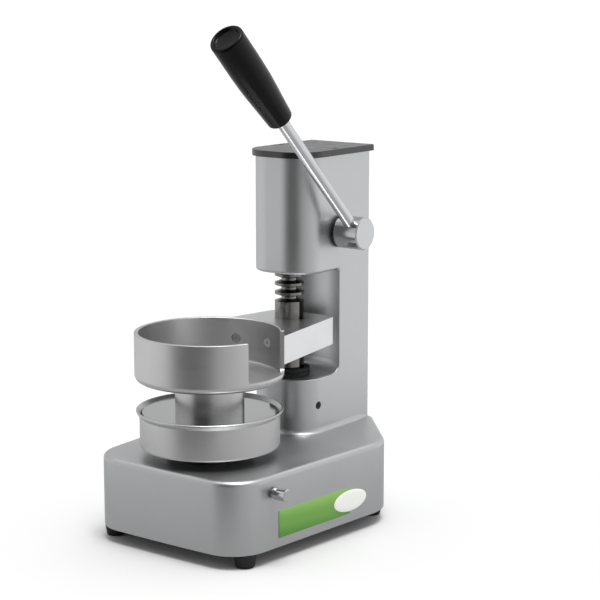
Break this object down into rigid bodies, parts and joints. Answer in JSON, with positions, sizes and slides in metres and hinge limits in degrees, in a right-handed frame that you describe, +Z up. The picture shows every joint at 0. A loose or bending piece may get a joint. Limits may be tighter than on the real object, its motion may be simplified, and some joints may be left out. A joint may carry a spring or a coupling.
{
  "type": "patty press",
  "caption": "Hand-operated hamburger press: lever, pinion and round rack lower a press plate into a steel bowl on a cast housing, with a paper cup above.",
  "frame": {"origin": "on the floor, under the middle of the whole object's box; the mould axis stands 72.4 mm in front of it", "axes": "+Z up, -Y to the front (the bowl), +X to the lever side"},
  "size_m": [0.2215, 0.2917, 0.498],
  "materials": {
    "cast_aluminium": "fine bead-blasted and anodised casting",
    "milled_aluminium": "milled and satin anodised",
    "satin_stainless": "turned and brushed stainless sheet",
    "turned_stainless": "fine turned",
    "ground_steel": "ground and oiled",
    "gear_steel": "hobbed, dark and oiled",
    "chromed_steel": "polished chrome plate",
    "black_phenolic": "compression moulded, glossy",
    "black_abs": "satin moulded sheet",
    "black_acetal": "turned acetal",
    "black_rubber": "moulded rubber",
    "bronze": "turned sintered bronze",
    "zinc_screw": "zinc plated",
    "steel_sheet": "rolled stainless sheet",
    "green_label": "printed polyester label, plain green",
    "white_badge": "domed resin, blank",
    "spring_steel": "drawn spring wire"
  },
  "bodies": {
    "stand": {"base_housing": "cast_aluminium", "column_casting": "cast_aluminium", "bottom_cover": "steel_sheet", "foot_front_left": "black_rubber", "foot_front_right": "black_rubber", "foot_back_left": "black_rubber", "foot_back_right": "black_rubber", "foot_screws": "zinc_screw", "column_bolts": "zinc_screw", "column_lid": "black_abs", "lid_screws": "zinc_screw", "upper_guide_bush": "bronze", "lower_guide_bush": "bronze", "guide_screw": "zinc_screw", "bumper_ring": "black_rubber", "shaft_bush_left": "bronze", "shaft_bush_right": "bronze", "bowl_seat_ring": "black_acetal", "mould_bowl": "satin_stainless", "bowl_spigot": "turned_stainless", "ejector_guide_bush": "bronze", "rocker_bracket": "steel_sheet", "bracket_screws": "zinc_screw", "pivot_pin": "ground_steel", "lock_pin_guide": "ground_steel", "label_plate": "green_label", "oval_badge": "white_badge"},
    "lever": {"pinion_shaft": "chromed_steel", "drive_pinion": "gear_steel", "pinion_key": "gear_steel", "shaft_circlip": "spring_steel", "shaft_washer": "black_abs", "lever_rod": "chromed_steel", "lever_grip": "black_phenolic", "grip_insert": "bronze"},
    "press": {"rack_rod": "ground_steel", "drive_pin": "ground_steel", "press_arm": "milled_aluminium", "arm_key": "gear_steel", "arm_grub_screw": "zinc_screw", "paper_cup": "satin_stainless", "cup_screws": "satin_stainless", "neck_screws": "zinc_screw", "press_neck": "turned_stainless", "press_plate": "satin_stainless", "plate_screw": "zinc_screw", "plate_nut": "zinc_screw"},
    "ejector": {"ejector_plate": "satin_stainless", "ejector_screw": "zinc_screw", "ejector_rod": "ground_steel", "ejector_pin": "ground_steel"},
    "rocker": {"ejector_rocker": "steel_sheet"},
    "lock": {"lock_pin": "ground_steel", "lock_knob": "chromed_steel", "lock_spring": "spring_steel"}
  },
  "joints": [
    {"name": "lever_turn", "type": "hinge", "parent": "stand", "child": "lever", "pos_m": [0, 0.0906, 0.287], "axis": [1, 0, 0], "range_deg": [-66.8, 52.5]},
    {"name": "press_slide", "type": "slide", "parent": "stand", "child": "press", "axis": [0, 0, 1], "range_m": [-0.0221, 0.0281]},
    {"name": "rocker_tilt", "type": "hinge", "parent": "stand", "child": "rocker", "pos_m": [0, -0.1264, 0.03], "axis": [1, 0, 0], "range_deg": [-6.95, 8.85]},
    {"name": "ejector_slide", "type": "slide", "parent": "stand", "child": "ejector", "axis": [0, 0, 1], "range_m": [-0.0067, 0.0085]},
    {"name": "lock_pull", "type": "slide", "parent": "stand", "child": "lock", "axis": [1, 0, 0], "range_m": [0, 0.012], "stiffness_N_per_m": 400, "springref_m": -0.008, "deforming": ["lock_spring"]}
  ],
  "couplings": [
    {"joint": "press_slide", "follows": "lever_turn", "m_per_rad": -0.024},
    {"joint": "rocker_tilt", "follows": "lever_turn", "ratio": -0.13065},
    {"joint": "ejector_slide", "follows": "lever_turn", "m_per_rad": -0.0071602}
  ]
}
